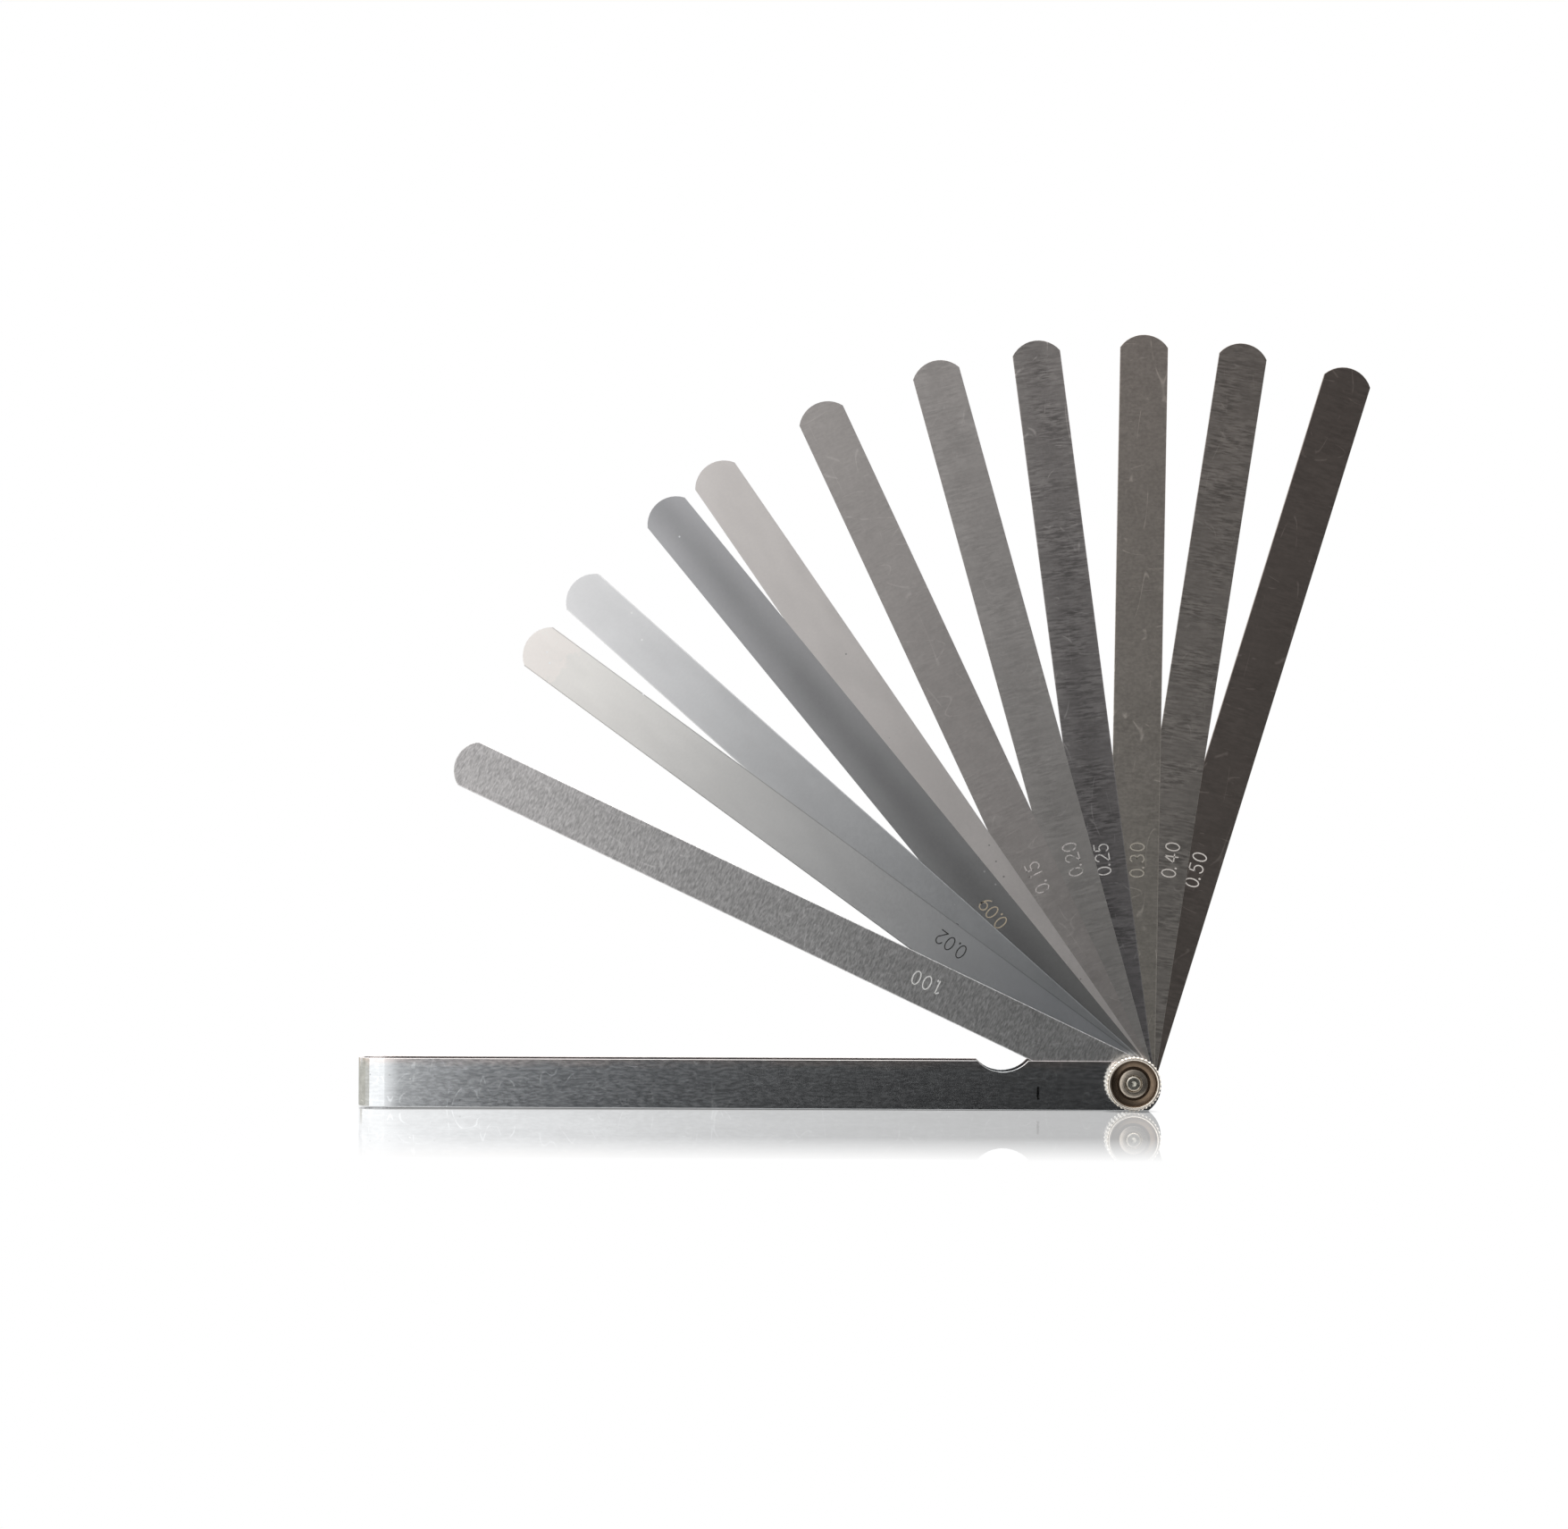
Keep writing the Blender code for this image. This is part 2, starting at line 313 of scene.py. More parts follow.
def scuffed(graph, place, seed, scuff):
    """Short marks across the blade, deeper in some patches: their factor and their relief."""
    marks = graph.noise(place, (2.0, 1.0, 0.3), seed, detail=3.0, roughness=0.6)
    patches = graph.noise(place, (0.16, 1.0, 0.12), seed + 3.0, detail=1.0)
    depth = graph.span(patches, 0.35, 0.65, scuff * 0.3, scuff * 1.5)
    shade = graph.span(marks, 0.38, 0.6, -1.0, 0.8)
    return graph.math("MULTIPLY_ADD", shade, depth, 1.0), marks


def stroked(graph, place, seed, strokes):
    """Short marks in two directions: their factor and their relief."""
    across = graph.noise(place, (2.6, 1.0, 0.8), seed, turn=0.3)
    leaning = graph.noise(place, (2.6, 1.0, 0.8), seed + 4.0, turn=-0.45)
    marks = graph.math("MULTIPLY", graph.math("ADD", across, leaning), 0.5)
    return graph.about(marks, strokes), marks


def blade_colour(graph, place, along, seed, root, tip, tip_reflection):
    """The colour from root to tip, partly painted reflection, with the stain over the tip's last few
    millimetres: a painted reflection with a ragged end.
    """
    base = graph.ramp(along, ((0.15, root), (1.0, tip)), "LINEAR")
    # Painted reflection over the tip's last few millimetres, with a ragged end.
    if tip_reflection:
        ragged = graph.noise(place, (0.35, 1.0, 0.25), seed)
        near_tip = graph.math("MULTIPLY_ADD", ragged, 0.06, along)
        base = graph.mix(graph.span(near_tip, 0.966, 0.974, smooth=True), base, tip_reflection)
    return base


def blade_lines(graph, tone, z, middle_reflection, edge_highlight_and_shade):
    """The tone with what runs along the whole blade: band, a painted reflection that darkens the
    middle and lightens the long edges, and rim, a painted line on each long edge, highlight above 0
    and shade below it.
    """
    from_middle = graph.math("ABSOLUTE", z)
    half = BLADE_WIDTH / 2
    # Painted reflection: darker along the middle, lighter towards the long edges.
    if middle_reflection:
        dip = graph.span(from_middle, 0.0, half, -middle_reflection, middle_reflection, smooth=True)
        tone = graph.math("ADD", tone, dip)
    # Painted highlight along each long edge where the value is above 0, painted shade where it is
    # below.
    if edge_highlight_and_shade:
        line = graph.span(from_middle, half - EDGE_LINE_START, half - EDGE_LINE_END, 0.0, edge_highlight_and_shade)
        tone = graph.math("ADD", tone, line)
    return tone


def blade_steel(
    name,
    swing,
    root,
    tip,
    scuff=0.0,
    strokes=0.0,
    grain=0.03,
    middle_reflection=0.0,
    edge_highlight_and_shade=0.0,
    scratch=0.0,
    dust=0.0,
    tip_reflection=None,
    seed=0.0,
):
    """Rolled spring steel. root and tip are its colours at the two ends, partly its own tone and
    partly painted reflection.

    scuff is short marks across the blade, strokes short ones in two directions and grain an even
    fine pattern. band is painted reflection: a darker middle and lighter long edges. rim is a
    painted line along each long edge, highlight where the value is above 0 and shade where it is
    below. dust is small specks, bright where the value is above 0 and dark where it is below.
    scratch is fine bright hairlines and stain is the colour of the last few millimetres of the tip,
    a painted reflection.
    """
    material, graph = new_material(name)
    place = graph.object_mm(swing)
    x, _, z = graph.split(place)
    along = graph.math("DIVIDE", x, -PIVOT_TO_TIP)
    base = blade_colour(graph, place, along, seed, root, tip, tip_reflection)
    clouds = graph.noise(place, (0.05, 1.0, 0.12), seed)
    fine = graph.noise(place, (1.5, 1.0, 1.1), seed, roughness=0.6)
    tone = graph.product(graph.about(fine, grain), graph.about(clouds, 0.03))
    relief = fine
    if scuff:
        factor, relief = scuffed(graph, place, seed, scuff)
        tone = graph.product(tone, factor)
    if strokes:
        factor, relief = stroked(graph, place, seed, strokes)
        tone = graph.product(tone, factor)
    tone = blade_lines(graph, tone, z, middle_reflection, edge_highlight_and_shade)
    if scratch:
        lines = graph.math(
            "ADD",
            graph.hairline(place, (0.04, 1.0, 0.16), seed, 0.01, turn=0.5),
            graph.hairline(place, (0.16, 1.0, 0.05), seed + 2.0, 0.01, turn=0.35),
        )
        tone = graph.math("MULTIPLY_ADD", lines, scratch, tone)
    if dust:
        specks = graph.dots(place, 0.45, 0.14, 0.04, seed)
        tone = graph.math("MULTIPLY_ADD", specks, dust, tone)
    rough = graph.span(relief, 0.38, 0.62, BLADE_ROUGHNESS * 0.95, BLADE_ROUGHNESS * 1.05)
    graph.surface(graph.scaled(base, tone), rough, graph.bump(relief, 0.06, 0.02 * MM))
    return material


def pair(root, tip):
    return {"root": colour(*root), "tip": colour(*tip)}


# Blade: its colours at the pivot and at the tip, partly its own tone and partly painted reflection,
# and its surface, with painted reflection and edge lines on some. The rest stand behind others.
BLADE_LOOKS = {
    "blade_100": dict(pair((0.70, 0.70, 0.70), (0.74, 0.73, 0.73)), strokes=0.24, grain=0.05,
                      scratch=0.25, edge_highlight_and_shade=0.35),
    "blade_002": dict(pair((0.70, 0.71, 0.725), (0.99, 0.98, 0.965)), grain=0.01, edge_highlight_and_shade=-0.3,
                      dust=1.5, tip_reflection=colour(1.0, 0.98, 0.965)),
    "blade_003": dict(pair((0.68, 0.69, 0.70), (0.95, 0.95, 0.955)), grain=0.01, edge_highlight_and_shade=0.4,
                      dust=1.0),
    "blade_009": dict(pair((0.57, 0.57, 0.57), (0.73, 0.73, 0.74)), grain=0.012, middle_reflection=0.12,
                      dust=0.8),
    "blade_010": dict(pair((0.91, 0.89, 0.88), (0.91, 0.89, 0.88)), grain=0.01, dust=-0.5),
    "blade_015": dict(pair((0.75, 0.73, 0.72), (0.75, 0.73, 0.72)), scuff=0.03, grain=0.03,
                      scratch=0.2),
    "blade_020": dict(pair((0.72, 0.71, 0.70), (0.74, 0.72, 0.71)), scuff=0.06, grain=0.03,
                      scratch=0.12, middle_reflection=0.03),
    "blade_025": dict(pair((0.53, 0.52, 0.525), (0.64, 0.62, 0.61)), scuff=0.2, grain=0.04,
                      scratch=0.6, edge_highlight_and_shade=0.35, middle_reflection=0.08),
    "blade_030": dict(pair((0.69, 0.67, 0.64), (0.66, 0.625, 0.60)), scuff=0.03, grain=0.08,
                      scratch=0.6, edge_highlight_and_shade=0.2),
    "blade_040": dict(pair((0.66, 0.64, 0.62), (0.59, 0.56, 0.54)), scuff=0.2, grain=0.03,
                      scratch=0.3),
    "blade_050": dict(pair((0.51, 0.48, 0.46), (0.485, 0.45, 0.43)), scuff=0.05, grain=0.03,
                      scratch=0.6),
    "blade_075": dict(pair((0.72, 0.70, 0.68), (0.72, 0.70, 0.68)), scuff=0.06, grain=0.03,
                      edge_highlight_and_shade=0.5),
}
HIDDEN_BLADE_LOOK = dict(pair((0.80, 0.79, 0.78), (0.86, 0.85, 0.84)), scuff=0.03, grain=0.03)


def swing_of(node):
    """How far a blade is swung out of the case at rest, in radians."""
    for joint in frame["joints"]:
        if joint["child"] == node:
            return math.radians(-joint["range_deg"][0])
    return 0.0


def soften_edges(obj, width, angle):
    """Rounds the edges that are sharper than the angle. width is in millimetres."""
    join = obj.modifiers.new("join", "WELD")
    join.merge_threshold = 1e-7
    bevel = obj.modifiers.new("edges", "BEVEL")
    bevel.width = width * MM
    bevel.segments = EDGE_SEGMENTS
    bevel.limit_method = "ANGLE"
    bevel.angle_limit = math.radians(angle)


def dress(node, material):
    """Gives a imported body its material."""
    obj = frame["nodes"][node]
    obj.data.materials.clear()
    obj.data.materials.append(material)
    return obj


def blade_names():
    return sorted(name for name in frame["nodes"] if name.startswith("blade_"))


def make_blades():
    for index, node in enumerate(blade_names()):
        look = BLADE_LOOKS.get(node, HIDDEN_BLADE_LOOK)
        material = blade_steel(node, swing_of(node), seed=index * 7.3, **look)
        obj = dress(node, material)
        low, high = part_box(node)
        thickness = (high.y - low.y) / MM
        if thickness > THIN_BLADE:
            soften_edges(obj, min(BLADE_EDGE, thickness * BLADE_EDGE_SHARE), BLADE_CREASE)


def bow(x, y, wide, high, start, end, steps=14):
    """Points along an ellipse's arc, angles in degrees."""
    points = []
    for step in range(steps + 1):
        angle = math.radians(start + (end - start) * step / steps)
        points.append((x + wide * math.cos(angle), y + high * math.sin(angle)))
    return points


def digit_strokes(digit):
    """The pen strokes of a digit in a cell one wide and one high."""
    six = [bow(0.5, 0.3, 0.5, 0.3, 0, 360, 24), bow(1.1, 0.3, 1.1, 0.72, 180, 112)]
    strokes = {
        "0": [bow(0.5, 0.5, 0.5, 0.5, 0, 360, 32)],
        "1": [[(0.15, 0.8), (0.6, 1.0)], [(0.6, 1.0), (0.6, 0.0)]],
        "2": [bow(0.5, 0.7, 0.46, 0.3, 165, -35) + [(0.03, 0.0)], [(0.03, 0.0), (1.0, 0.0)]],
        "3": [bow(0.46, 0.75, 0.42, 0.25, 150, -90), bow(0.46, 0.25, 0.5, 0.25, 90, -150)],
        "4": [[(0.76, 0.0), (0.76, 1.0)], [(0.76, 1.0), (0.0, 0.28)], [(0.0, 0.28), (1.1, 0.28)]],
        "5": [
            [(0.95, 1.0), (0.18, 1.0)],
            [(0.18, 1.0), (0.1, 0.56)],
            bow(0.46, 0.32, 0.5, 0.33, 137, -150),
        ],
        "6": six,
        "7": [[(0.0, 1.0), (1.0, 1.0)], [(1.0, 1.0), (0.38, 0.0)]],
        "8": [bow(0.5, 0.76, 0.4, 0.24, 0, 360, 22), bow(0.5, 0.26, 0.5, 0.26, 0, 360, 24)],
        "9": [[(1.0 - x, 1.0 - y) for x, y in stroke] for stroke in six],
    }
    return strokes[digit]


def label_strokes(text, pitch):
    """The strokes of a number and their widths, centred on the origin, in millimetres."""
    strokes = []
    x = 0.0
    for character in text:
        if character == ".":
            point = x - pitch + DIGIT_WIDTH + POINT_GAP
            strokes.append(([(point, POINT_LOW), (point, POINT_HIGH)], POINT_WIDTH))
            x += POINT_PITCH
        else:
            for stroke in digit_strokes(character):
                points = [(x + a * DIGIT_WIDTH, b * DIGIT_HEIGHT) for a, b in stroke]
                strokes.append((points, STROKE))
            x += pitch * PITCH_AFTER_ONE if character == "1" else pitch
    length = x - pitch + DIGIT_WIDTH
    return [
        ([(a - length / 2, b - DIGIT_HEIGHT / 2) for a, b in points], width)
        for points, width in strokes
    ]


def draw_stroke(shape, stroke, width):
    """A flat ribbon along a stroke, with round ends where it is open."""
    closed = math.dist(stroke[0], stroke[-1]) < 1e-6
    points = stroke[:-1] if closed else stroke
    count = len(points)
    half = width / 2
    sides = []
    for index, (x, y) in enumerate(points):
        before = points[index - 1] if index or closed else points[0]
        after = points[(index + 1) % count] if index + 1 < count or closed else points[-1]
        run = math.atan2(after[1] - before[1], after[0] - before[0])
        across = (-math.sin(run) * half, math.cos(run) * half)
        left = shape.verts.new((x + across[0], 0.0, y + across[1]))
        right = shape.verts.new((x - across[0], 0.0, y - across[1]))
        sides.append((left, right))
    pairs = list(zip(sides, sides[1:]))
    if closed:
        pairs.append((sides[-1], sides[0]))
    for (left, right), (next_left, next_right) in pairs:
        shape.faces.new((left, right, next_right, next_left))
    if not closed:
        round_end(shape, points[0], points[1], half, sides[0][1], sides[0][0])
        round_end(shape, points[-1], points[-2], half, sides[-1][0], sides[-1][1])


def round_end(shape, end, inner, half, first, last):
    """A half disc that closes a ribbon's end."""
    run = math.atan2(end[1] - inner[1], end[0] - inner[0])
    arc = []
    for step in range(1, 5):
        angle = run + math.pi / 2 - math.pi * step / 5
        x = end[0] + math.cos(angle) * half
        y = end[1] + math.sin(angle) * half
        arc.append(shape.verts.new((x, 0.0, y)))
    shape.faces.new([first] + arc + [last])


def etched(name, shade, plain, wear):
    """Matt etched marks, rubbed back where they are worn to the blade's colour at the pivot, which
    is partly painted reflection.
    """
    material, graph = new_material(name)
    place = graph.object_mm()
    rubbed = graph.noise(place, (0.9, 0.9, 0.9), 2.0, detail=3.0, roughness=0.7)
    left = graph.span(rubbed, wear - 0.1, wear + 0.1)
    base = graph.mix(left, plain, shade)
    rough = graph.span(left, 0.0, 1.0, 0.3, 0.6)
    graph.surface(base, rough, metallic=graph.span(left, 0.0, 1.0, 1.0, 0.0))
    return material


# Number on a blade: colour, wear, how far its middle is from the pivot and off the blade's middle
# line, and how far apart its digits are, all three in millimetres.
LABELS = {
    "blade_002": (colour(0.12, 0.12, 0.12), 0.1, 59.0, 1.0, 2.75),
    "blade_003": (colour(0.24, 0.24, 0.24), 0.1, 58.0, -1.4, 2.75),
    "blade_009": (colour(0.54, 0.50, 0.43), 0.1, 56.7, -0.15, 2.65),
    "blade_010": (colour(0.24, 0.24, 0.24), 0.1, 58.0, -0.9, 3.05),
    "blade_015": (colour(0.60, 0.58, 0.57), 0.5, 58.5, 0.25, 3.05),
    "blade_020": (colour(0.60, 0.58, 0.57), 0.5, 59.8, 0.7, 2.9),
    "blade_025": (colour(0.66, 0.65, 0.64), 0.4, 58.3, 0.1, 2.6),
    "blade_030": (colour(0.52, 0.50, 0.46), 0.3, 57.7, 0.6, 3.0),
    "blade_040": (colour(0.66, 0.64, 0.62), 0.3, 58.6, 1.5, 3.05),
    "blade_050": (colour(0.72, 0.70, 0.68), 0.1, 57.7, 0.0, 3.05),
    "blade_100": (colour(0.70, 0.70, 0.69), 0.2, 59.2, 0.25, 3.05),
}
HIDDEN_LABEL = (colour(0.24, 0.24, 0.24), 0.1, 58.5, 0.5, 2.75)


def label_mesh(name, text, pitch):
    """A number as flat strokes that face the front."""
    mesh = bpy.data.meshes.new(name)
    shape = bmesh.new()
    for stroke, width in label_strokes(text, pitch):
        draw_stroke(shape, stroke, width)
    for face in shape.faces:
        face.normal_update()
        if face.normal.y > 0:
            face.normal_flip()
    shape.to_mesh(mesh)
    shape.free()
    return mesh


def make_labels():
    """The size etched on each blade's front. It is upside down when the blade lies folded."""
    for node in blade_names():
        hundredths = int(node.split("_")[1])
        text = f"{hundredths / 100:.2f}"
        shade, wear, from_pivot, off_middle, pitch = LABELS.get(node, HIDDEN_LABEL)
        mesh = label_mesh("size_" + node[-3:], text, pitch)
        front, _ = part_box(node)
        upside_down = Matrix.Rotation(math.pi, 4, "Y")
        to_place = Matrix.Translation(
            (-from_pivot * MM, front.y - LABEL_PROUD * MM, off_middle * MM)
        )
        swing = Matrix.Rotation(swing_of(node), 4, "Y")
        mesh.transform(swing @ to_place @ upside_down @ Matrix.Scale(MM, 4))
        label = bpy.data.objects.new("size_" + node[-3:], mesh)
        bpy.context.scene.collection.objects.link(label)
        thick = label.modifiers.new("thickness", "SOLIDIFY")
        thick.thickness = 2 * LABEL_PROUD * MM
        thick.offset = -1.0
        plain = BLADE_LOOKS.get(node, HIDDEN_BLADE_LOOK)["root"]
        mesh.materials.append(etched("etched_" + node[-3:], shade, plain, wear))
        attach(label, node)


def case_marks(graph, place, tone):
    """The tone with scratches, bright specks and dark pits."""
    scratches = graph.math(
        "ADD",
        graph.hairline(place, (0.05, 1.0, 0.2), 3.0, 0.012, turn=0.2),
        graph.hairline(place, (0.2, 1.0, 0.08), 11.0, 0.012, turn=-0.3),
    )
    tone = graph.math("MULTIPLY_ADD", scratches, 0.35, tone)
    specks = graph.dots(place, 0.35, 0.08, 0.08, 2.0)
    tone = graph.math("MULTIPLY_ADD", specks, 1.2, tone)
    pits = graph.dots(place, 0.6, 0.16, 0.1, 8.0)
    return graph.math("MULTIPLY_ADD", pits, -0.3, tone)


def case_nick_shade(graph, place):
    """1 in the ragged nick across the front plate, else 0. The nick is not in the shape: the dark
    painted there is its shade.
    """
    x, y, z = graph.split(place)
    ragged = graph.noise(place, (1.0, 1.0, 1.5), 5.0)
    off_nick = graph.math("ADD", x, graph.math("MULTIPLY_ADD", ragged, 0.9, -NICK_X))
    off_middle = graph.math("ADD", z, -NICK_Z)
    return graph.product(
        graph.span(graph.math("ABSOLUTE", off_nick), *NICK_HALF_WIDTH, 1.0, 0.0),
        graph.span(graph.math("ABSOLUTE", off_middle), *NICK_HALF_HEIGHT, 1.0, 0.0),
        graph.math("LESS_THAN", y, CASE_MIDDLE_Y),
    )


def case_bump(graph, x, dashes):
    """The normal, with the fine marks and the plates' slight bow before the fold."""
    along = graph.span(x, BOW_START_X, FOLD_START_X, 0.0, BOW_START_X - FOLD_START_X)
    sunk = graph.product(along, along, -BOW_RATE)
    height = graph.math("MULTIPLY_ADD", dashes, 0.001, sunk)
    return graph.bump(height, 1.0, MM)


def case_steel():
    """Polished strip: paler and warmer in colour, in ragged patches, towards the top edge, and rough
    where it faces the blades.
    """
    material, graph = new_material("case_strip")
    place = graph.object_mm()
    x, y, z = graph.split(place)
    dashes = graph.noise(place, (0.55, 1.0, 1.7), 1.0, detail=3.0, roughness=0.6)
    lines = graph.noise(place, (0.03, 1.0, 1.1), 4.0, detail=3.0, roughness=0.6)
    clouds = graph.noise(place, (0.07, 1.0, 0.25), 9.0, detail=3.0, roughness=0.6)
    tone = graph.product(
        graph.about(dashes, 0.045), graph.about(lines, 0.04), graph.about(clouds, 0.05)
    )
    tone = case_marks(graph, place, tone)
    # The nick is painted dark: painted shade of a nick the shape doesn't have.
    tone = graph.product(tone, graph.span(case_nick_shade(graph, place), 0.0, 1.0, 1.0, 0.08))
    near_top = graph.math("MULTIPLY_ADD", clouds, 6.0, z)
    pale_top = graph.span(near_top, 5.6, 8.6, 0.0, 1.0, smooth=True)
    steel = graph.mix(pale_top, colour(0.86, 0.87, 0.88), colour(0.93, 0.90, 0.89))
    base = graph.scaled(steel, tone)
    off_middle = graph.math("ABSOLUTE", graph.math("SUBTRACT", y, CASE_MIDDLE_Y))
    between = graph.span(off_middle, CASE_INNER_HALF - 0.1, CASE_INNER_HALF, 1.0, 0.0)
    inside = graph.product(between, graph.math("GREATER_THAN", x, FOLD_END_X))
    rough = graph.span(dashes, 0.38, 0.62, 0.13, 0.16)
    rough = graph.math("MULTIPLY_ADD", inside, 0.3, rough)
    metal = graph.math("MULTIPLY_ADD", inside, -0.6, 1.0)
    graph.surface(base, rough, case_bump(graph, x, dashes), metallic=metal)
    return material


def turned_metal(name, stops, roughness, mottle):
    """Metal with turning rings. stops are (radius in millimetres, colour)."""
    material, graph = new_material(name)
    place = graph.object_mm()
    x, _, z = graph.split(place)
    square = graph.math("ADD", graph.math("MULTIPLY", x, x), graph.math("MULTIPLY", z, z))
    radius = graph.math("SQRT", square)
    shares = [(limit / TURNED_RADIUS, shade) for limit, shade in stops]
    base = graph.ramp(graph.math("DIVIDE", radius, TURNED_RADIUS), shares, "LINEAR")
    rings = graph.node(
        "ShaderNodeTexNoise", {"W": radius, "Scale": 9.0, "Detail": 3.0}, noise_dimensions="1D"
    ).outputs["Fac"]
    clouds = graph.noise(place, (1.3, 1.3, 1.3), 1.0, detail=3.0)
    tone = graph.product(graph.about(rings, 0.14), graph.about(clouds, mottle))
    rough = graph.span(rings, 0.3, 0.7, roughness * 0.85, roughness * 1.15)
    graph.surface(graph.scaled(base, tone), rough, graph.bump(rings, 0.12, 0.03 * MM))
    return material


def revolve(shape, profile, steps):
    """A closed profile turned round the Y axis. profile holds (radius, y, share of the knurl)."""
    rings = []
    for radius, y, knurl in profile:
        ring = []
        for step in range(steps):
            angle = 2 * math.pi * step / steps
            r = knurled(radius, knurl, angle) * MM
            ring.append(shape.verts.new((r * math.cos(angle), y * MM, r * math.sin(angle))))
        rings.append(ring)
    for first, second in zip(rings, rings[1:] + rings[:1]):
        for step in range(steps):
            after = (step + 1) % steps
            shape.faces.new((first[step], second[step], second[after], first[after]))


def knurled(radius, knurl, angle):
    """The radius at an angle, lower between the teeth."""
    turn = angle * KNURL_TEETH / (2 * math.pi) % 1.0
    return radius - knurl * KNURL_DEPTH * (1 - abs(turn - 0.5) * 2)


# Nut's profile: radius, depth behind the front of the rim, share of the knurl.
RIM_PROFILE = (
    (6.05, 0.35, 0),
    (6.07, 0.18, 0),
    (6.16, 0.06, 0),
    (6.32, 0.0, 0),
    (6.46, 0.0, 0),
    (6.6, 0.06, 0),
    (6.72, 0.2, 0.5),
)
DISH_PROFILE = (
    (NUT_BORE, 1.4, 0),
    (2.25, 1.2, 0),
    (3.5, 1.2, 0),
    (3.62, 1.25, 0),
    (3.66, 1.4, 0),
    (3.66, 1.85, 0),
    (3.9, 1.85, 0),
    (3.92, 1.59, 0),
    (3.97, 1.55, 0),
    (4.12, 1.55, 0),
    (4.18, 1.6, 0),
    (4.2, 1.85, 0),
    (4.4, 1.85, 0),
    (4.42, 1.54, 0),
    (4.5, 1.5, 0),
    (5.65, 1.41, 0),
    (5.78, 1.38, 0),
    (5.84, 1.28, 0),
)
# Colours of the turned nut by radius. The dish's brown is partly its own colour and partly painted
# shade of the recess, darkest next to its walls. The dark ring just inside the knurl's tips is
# painted shade between its teeth.
NUT_BROWN_AND_SHADE = colour(0.36, 0.30, 0.25)
NUT_BOSS = colour(0.72, 0.68, 0.63)
NUT_RIM = colour(0.93, 0.90, 0.86)
NUT_COLOURS_AND_SHADE = (
    (0.0, NUT_BOSS),
    (3.6, NUT_BOSS),
    (3.7, NUT_BROWN_AND_SHADE),
    (5.0, colour(0.46, 0.40, 0.34)),
    (5.9, NUT_BROWN_AND_SHADE),
    (6.06, NUT_RIM),
    (6.5, NUT_RIM),
    (6.64, colour(0.36, 0.32, 0.28)),
    (6.84, colour(0.95, 0.92, 0.88)),
)
# The screw's end by radius: the bright ring from 1.7 mm out is a painted highlight on its chamfer.
SCREW_COLOURS_AND_HIGHLIGHT = (
    (0.0, colour(0.66, 0.65, 0.61)),
    (1.4, colour(0.72, 0.71, 0.67)),
    (1.7, colour(0.93, 0.91, 0.87)),
)


def make_nut():
    """The nut with every step of its turned face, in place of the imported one."""
    low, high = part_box("knurled_nut")
    front = low.y / MM
    height = high.y / MM - front
    tip = -low.z / MM
    sides = (
        (tip, KNURL_CHAMFER, 1),
        (tip, height - KNURL_CHAMFER, 1),
        (REAR_RADIUS, height, 0),
        (NUT_BORE, height, 0),
    )
    profile = [(r, front + y, k) for r, y, k in RIM_PROFILE + sides + DISH_PROFILE]
    mesh = bpy.data.meshes.new("nut")
    shape = bmesh.new()
    revolve(shape, profile, NUT_STEPS)
    bmesh.ops.recalc_face_normals(shape, faces=shape.faces)
    shape.to_mesh(mesh)
    shape.free()
    nut = bpy.data.objects.new("nut", mesh)
    bpy.context.scene.collection.objects.link(nut)
    mesh.shade_smooth()
    mesh.set_sharp_from_angle(angle=math.radians(NUT_CREASE))
    mesh.materials.append(turned_metal("nut_nickel", NUT_COLOURS_AND_SHADE, 0.27, 0.08))
    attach(nut, "knurled_nut")
    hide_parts("knurled_nut")


def make_screw():
    obj = dress("pivot_screw", turned_metal("screw_zinc", SCREW_COLOURS_AND_HIGHLIGHT, 0.25, 0.3))
    soften_edges(obj, SCREW_EDGE, SCREW_CREASE)


def make_case():
    obj = dress("case_strip", case_steel())
    soften_edges(obj, CASE_EDGE, CASE_CREASE)


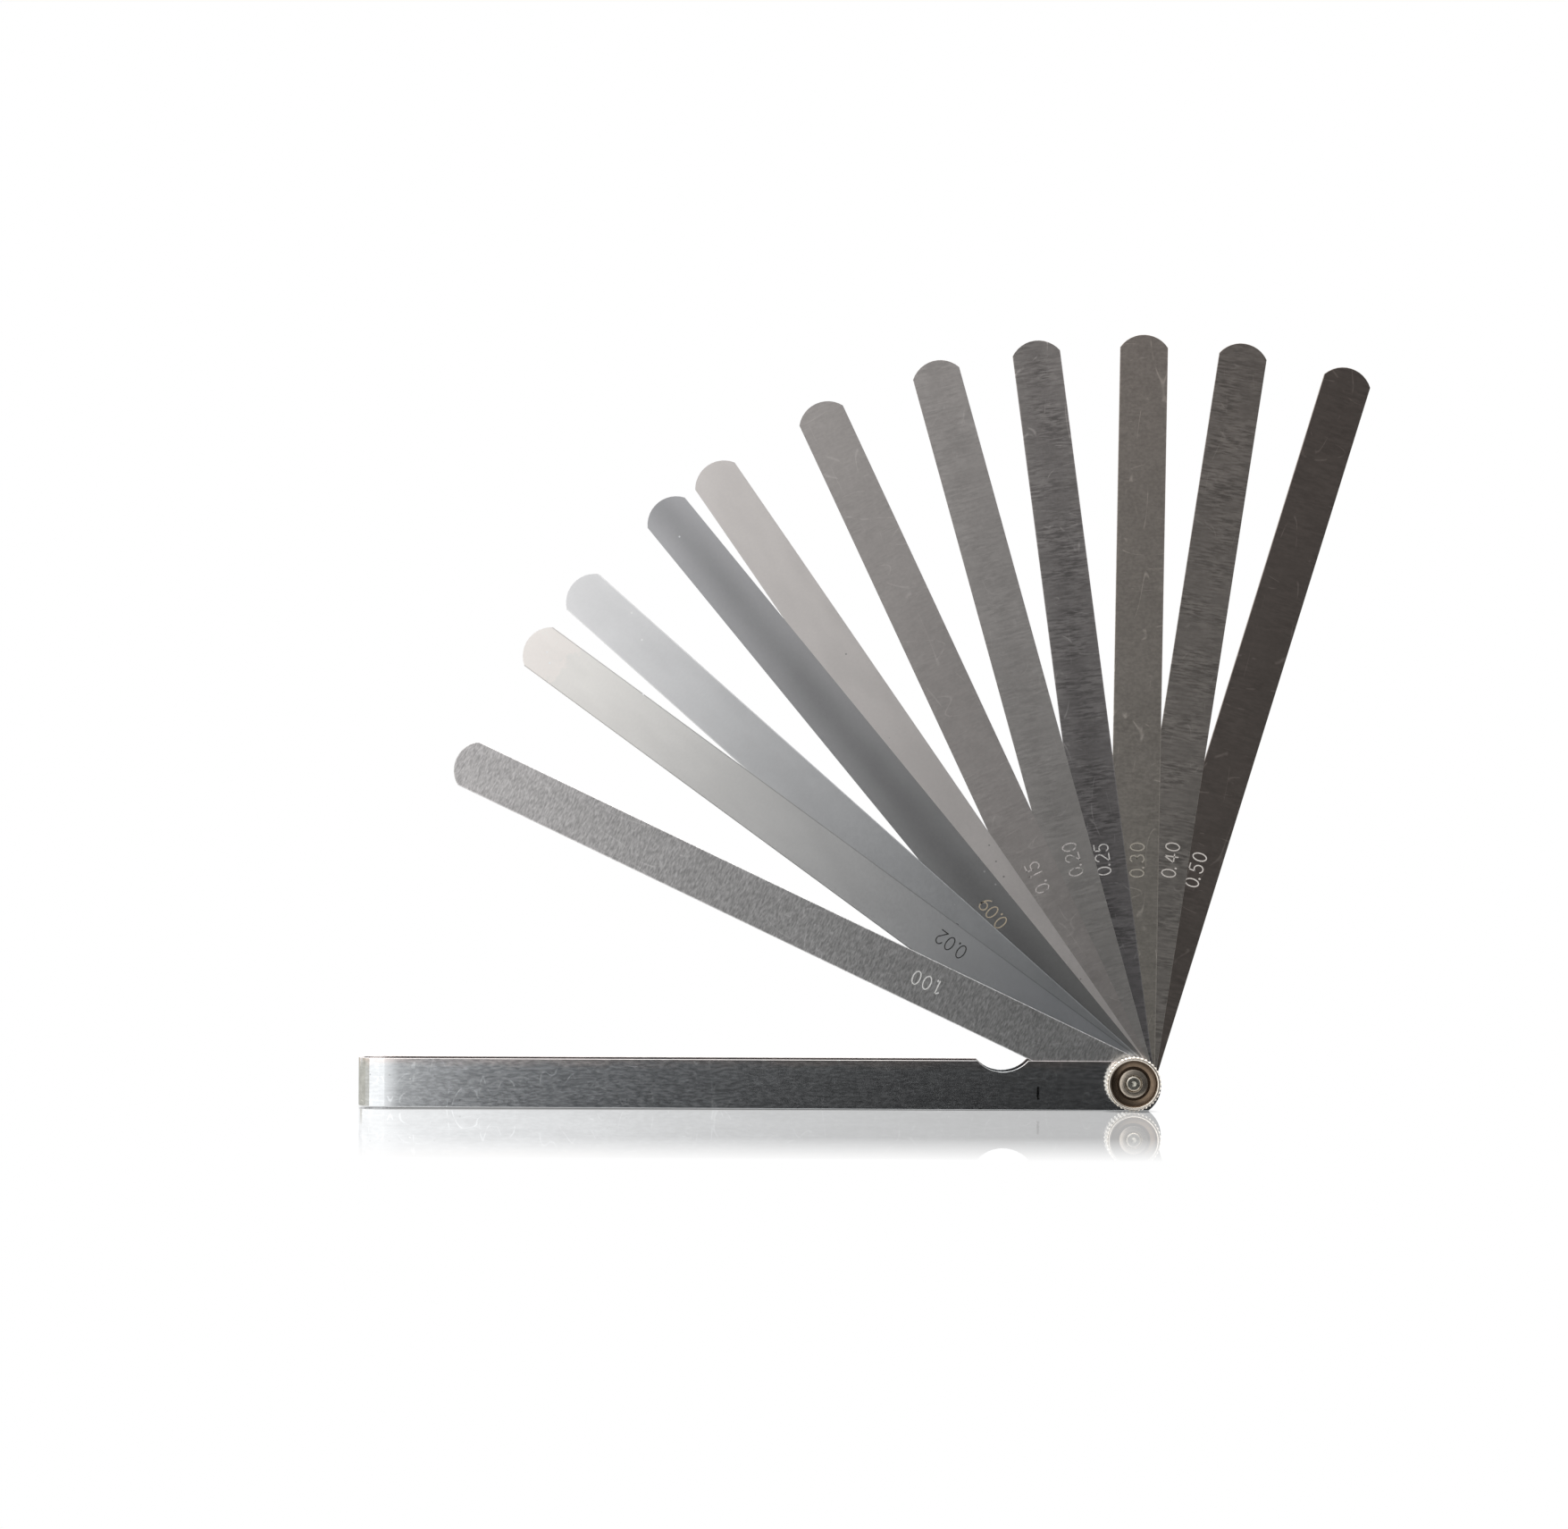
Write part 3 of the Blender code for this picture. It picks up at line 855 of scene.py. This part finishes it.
def make_floor():
    """A self-lit white table just under the gauge, with a painted contact shadow under the gauge,
    which mirrors the gauge close in front of it.
    """
    low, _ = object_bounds()
    mesh = bpy.data.meshes.new("floor")
    shape = bmesh.new()
    bmesh.ops.create_grid(shape, x_segments=1, y_segments=1, size=12.0)
    shape.to_mesh(mesh)
    shape.free()
    floor = bpy.data.objects.new("floor", mesh)
    floor.location = (0.0, 0.0, low.z - FLOOR_GAP * MM)
    floor.rotation_euler = (0.0, FLOOR_TILT, 0.0)
    bpy.context.scene.collection.objects.link(floor)
    material, graph = new_material("floor")
    place = graph.node("ShaderNodeNewGeometry").outputs["Position"]
    x, y, _ = graph.split(graph.scaled(place, 1 / MM))
    mirror = graph.product(
        graph.span(y, MIRROR_START_Y, MIRROR_FULL_Y, 0.0, MIRROR_STRENGTH),
        graph.span(x, MIRROR_LEFT - MIRROR_FADE, MIRROR_LEFT),
        graph.span(x, MIRROR_RIGHT + MIRROR_FADE, MIRROR_RIGHT),
        graph.span(y, 0.0, MIRROR_END_Y, 1.0, 0.0),
    )
    # The table's glow is darkened where the gauge is close: a painted contact shadow from an ambient
    # occlusion node.
    shade = graph.node("ShaderNodeAmbientOcclusion", {"Distance": 4 * MM}, samples=8)
    painted_contact_shadow = graph.ramp(shade.outputs["AO"], ((0.25, 0.2), (0.85, 1.0)), "LINEAR")
    white = graph.node("ShaderNodeEmission", {"Color": painted_contact_shadow, "Strength": 1.0})
    gloss = graph.node(
        "ShaderNodeBsdfGlossy", {"Color": (1.0, 1.0, 1.0, 1.0), "Roughness": 0.015}
    )
    mixed = graph.node(
        "ShaderNodeMixShader",
        {0: mirror, 1: white.outputs["Emission"], 2: gloss.outputs["BSDF"]},
    )
    graph.node("ShaderNodeOutputMaterial", {"Surface": mixed.outputs["Shader"]})
    floor.data.materials.append(material)
    floor.visible_glossy = False


# The screen in front of the gauge, as (share of its span, linear grey or colour): from left to
# right, from low to high, and its fill low down from left to right.
SCREEN_SIDE = (
    (0.0, 1.0),
    (0.05, 0.95),
    (0.11, 1.0),
    (0.157, 0.45),
    (0.2, 0.25),
    (0.25, 0.17),
    (0.3, 0.125),
    (0.4, 0.1),
    (0.8, 0.07),
    (1.0, 0.3),
)
SCREEN_HEIGHT = (
    (0.0, 0.06),
    (0.2, 0.075),
    (0.3, 0.115),
    (0.4, 0.24),
    (0.55, 0.55),
    (0.75, 0.85),
    (1.0, 1.0),
)
SCREEN_LOW_FILL = (
    (0.0, (0.198, 0.215, 0.242, 1.0)),
    (0.2, (0.228, 0.242, 0.262, 1.0)),
    (0.4, 0.58),
    (0.6, 0.71),
    (0.7, 0.66),
    (0.84, 1.0),
)

# The wall behind the gauge up to the horizon, the same way, from left to right.
REAR_WALL = ((0.0, 0.5), (0.4, 0.25), (0.7, 0.4), (1.0, 0.7))


def world_screen(graph, x, z):
    """The dark screen in front, darker to the right and low down, with a dim patch on its left."""
    side = graph.ramp(graph.span(x, -0.2, 0.8), SCREEN_SIDE, "LINEAR")
    height = graph.ramp(graph.span(z, -0.17, 0.03), SCREEN_HEIGHT, "LINEAR")
    low = graph.ramp(graph.span(x, -0.1, 0.15), SCREEN_LOW_FILL, "LINEAR")
    fill = graph.mix(graph.span(z, -0.04, -0.1), grey(0.8), low)
    patch = graph.product(
        graph.span(x, 0.02, -0.05), graph.span(z, 0.07, 0.1), graph.span(z, 0.23, 0.17)
    )
    shaded = graph.span(patch, 0.0, 1.0, 2.0, 0.95)
    return graph.scaled(fill, graph.product(side, height, shaded))


def world_front(graph, x, z):
    """The screen between two white walls. The left one stands a little further out low down."""
    lean = graph.span(z, -0.1, -0.06, 0.009, -0.006)
    left = graph.span(graph.math("ADD", x, lean), -0.13, -0.165, smooth=True)
    right = graph.span(x, 0.75, 0.9, smooth=True)
    walls = graph.math("MAXIMUM", left, right)
    return graph.mix(walls, world_screen(graph, x, z), WHITE_WALL)


def world_rear(graph, x, z):
    """Behind the gauge: grey up to the horizon, white above it."""
    wall = graph.ramp(graph.span(x, -0.5, 0.5), REAR_WALL)
    return graph.mix(graph.span(z, -0.03, 0.04, smooth=True), wall, grey(1.1))


def make_world():
    """A studio with a dark screen in front, as the steel reflects it. Seen directly, it is white.

    It is grey steeply below, where the table would be in the steel, and a warm grey low down on
    the far left.
    """
    world = bpy.data.worlds.new("studio")
    world.use_nodes = True
    bpy.context.scene.world = world
    graph = Graph(world.node_tree)
    direction = graph.node("ShaderNodeTexCoord").outputs["Generated"]
    x, y, z = graph.split(direction)
    behind = graph.span(y, -0.1, 0.1, smooth=True)
    level = graph.mix(behind, world_front(graph, x, z), world_rear(graph, x, z))
    below = graph.span(z, -0.3, -0.6, smooth=True)
    above = graph.span(z, 0.35, 0.7, smooth=True)
    level = graph.mix(graph.math("MAXIMUM", below, above), level, WHITE_WALL)
    level = graph.mix(graph.span(z, -0.68, -0.85, smooth=True), level, grey(0.4))
    far_left = graph.product(graph.span(x, -0.70, -0.77, smooth=True), graph.span(z, 0.08, 0.02))
    level = graph.mix(far_left, level, FAR_LEFT_WALL)
    seen = graph.node("ShaderNodeLightPath").outputs["Is Camera Ray"]
    shade = graph.mix(seen, level, grey(1.0))
    background = graph.node("ShaderNodeBackground", {"Color": shade, "Strength": 1.0})
    graph.node("ShaderNodeOutputWorld", {"Surface": background.outputs["Background"]})


def make_light():
    """One wide, weak light high over the gauge, a little to its left."""
    data = bpy.data.lights.new("overhead", "AREA")
    data.shape = "RECTANGLE"
    data.size = LIGHT_SIZE
    data.size_y = LIGHT_SIZE
    data.energy = LIGHT_POWER
    light = bpy.data.objects.new("overhead", data)
    light.location = LIGHT_PLACE
    bpy.context.scene.collection.objects.link(light)


def make_camera():
    data = bpy.data.cameras.new("camera")
    data.lens = CAMERA_LENS
    data.sensor_width = 36.0
    data.clip_start = 0.01
    camera = bpy.data.objects.new("camera", data)
    camera.location = CAMERA_PLACE
    camera.rotation_euler = (math.pi / 2, CAMERA_ROLL, 0.0)
    bpy.context.scene.collection.objects.link(camera)
    bpy.context.scene.camera = camera


def main():
    make_camera()
    make_world()
    make_floor()
    make_light()
    make_blades()
    make_labels()
    make_case()
    make_nut()
    make_screw()
    bpy.context.scene.view_settings.view_transform = "Standard"


main()
